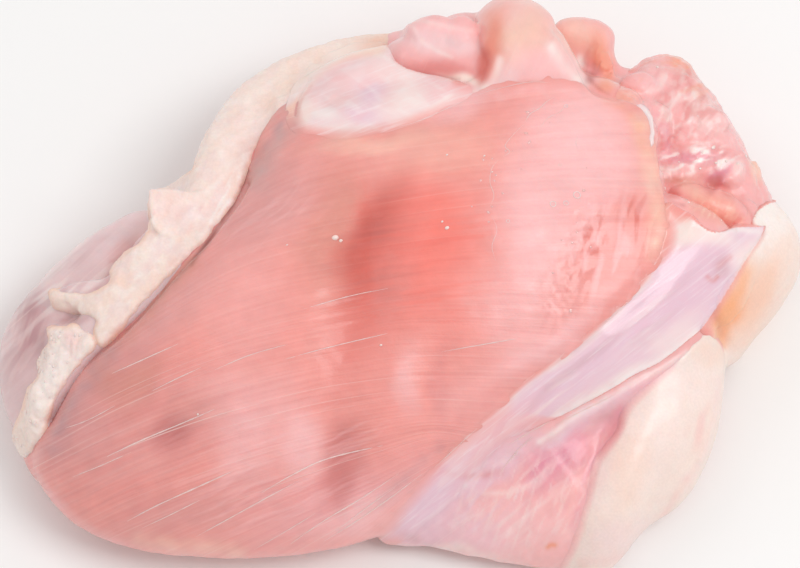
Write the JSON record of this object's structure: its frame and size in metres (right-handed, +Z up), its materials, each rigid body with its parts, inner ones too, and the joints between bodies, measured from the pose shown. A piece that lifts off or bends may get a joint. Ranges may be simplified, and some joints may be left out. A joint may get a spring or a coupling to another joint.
{
  "type": "raw chicken thigh",
  "caption": "Raw skinless chicken thigh lying outer side up, with a fat seam, curled muscle ends and a skin fat pad.",
  "frame": {"origin": "on the table under the middle of the piece's bounding box", "axes": "+X towards the end that was cut from the hip, +Y away from the viewer, +Z up from the table"},
  "size_m": [0.1204, 0.087, 0.0351],
  "materials": {
    "raw_meat": "wet raw meat, salmon pink with cream fat"
  },
  "bodies": {
    "root": {"chicken_thigh": "raw_meat"}
  },
  "joints": []
}
